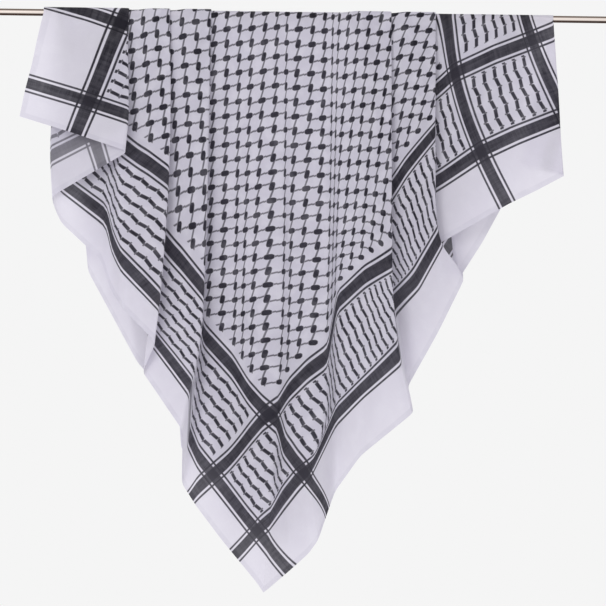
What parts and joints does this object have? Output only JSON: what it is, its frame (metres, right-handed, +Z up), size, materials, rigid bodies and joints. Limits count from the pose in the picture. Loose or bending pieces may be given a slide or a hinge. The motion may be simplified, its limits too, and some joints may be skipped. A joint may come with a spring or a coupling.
{
  "type": "keffiyeh headscarf hung over a rod",
  "caption": "Square cotton keffiyeh with woven black bands and a net pattern, hung corner-down in flat pleats over a thin metal rod.",
  "frame": {"origin": "on the rod's axis, at the middle of its length", "axes": "+X right along the rod, +Z up, -Y towards the viewer, on the side of the front corner"},
  "size_m": [0.96, 0.0832, 0.8628],
  "materials": {
    "cotton_cloth": "matte sheer cotton",
    "cotton_hem": "matte turned hem",
    "polished_metal": "polished, warm dark metal"
  },
  "bodies": {
    "root": {"rod": "polished_metal", "left_flap": "cotton_cloth", "left_flap_under": "cotton_cloth", "left_pleat": "cotton_cloth", "left_pleat_under": "cotton_cloth", "step_pleat": "cotton_cloth", "step_pleat_under": "cotton_cloth", "front_panel": "cotton_cloth", "front_panel_under": "cotton_cloth", "right_pleat": "cotton_cloth", "right_pleat_under": "cotton_cloth", "right_flap": "cotton_cloth", "back_left_flap": "cotton_cloth", "back_left_flap_under": "cotton_cloth", "back_left_pleat": "cotton_cloth", "back_left_pleat_under": "cotton_cloth", "back_step_pleat": "cotton_cloth", "back_step_pleat_under": "cotton_cloth", "back_panel": "cotton_cloth", "back_panel_under": "cotton_cloth", "back_right_pleat": "cotton_cloth", "back_right_pleat_under": "cotton_cloth", "back_right_flap": "cotton_cloth", "right_corner": "cotton_cloth", "hem_left_flap": "cotton_hem", "hem_left_flap_under": "cotton_hem", "hem_left_pleat": "cotton_hem", "hem_left_pleat_under": "cotton_hem", "hem_step_pleat": "cotton_hem", "hem_step_pleat_under": "cotton_hem", "hem_front_panel": "cotton_hem", "hem_front_panel_under": "cotton_hem", "hem_right_pleat": "cotton_hem", "hem_right_pleat_under": "cotton_hem", "hem_right_flap": "cotton_hem", "hem_back_left_flap": "cotton_hem", "hem_back_left_flap_under": "cotton_hem", "hem_back_left_pleat": "cotton_hem", "hem_back_left_pleat_under": "cotton_hem", "hem_back_step_pleat": "cotton_hem", "hem_back_step_pleat_under": "cotton_hem", "hem_back_panel": "cotton_hem", "hem_back_panel_under": "cotton_hem", "hem_back_right_pleat": "cotton_hem", "hem_back_right_pleat_under": "cotton_hem", "hem_back_right_flap": "cotton_hem", "hem_right_corner": "cotton_hem", "hem_left_flap_side": "cotton_hem", "hem_back_left_flap_side": "cotton_hem", "hem_right_corner_side": "cotton_hem"}
  },
  "joints": []
}
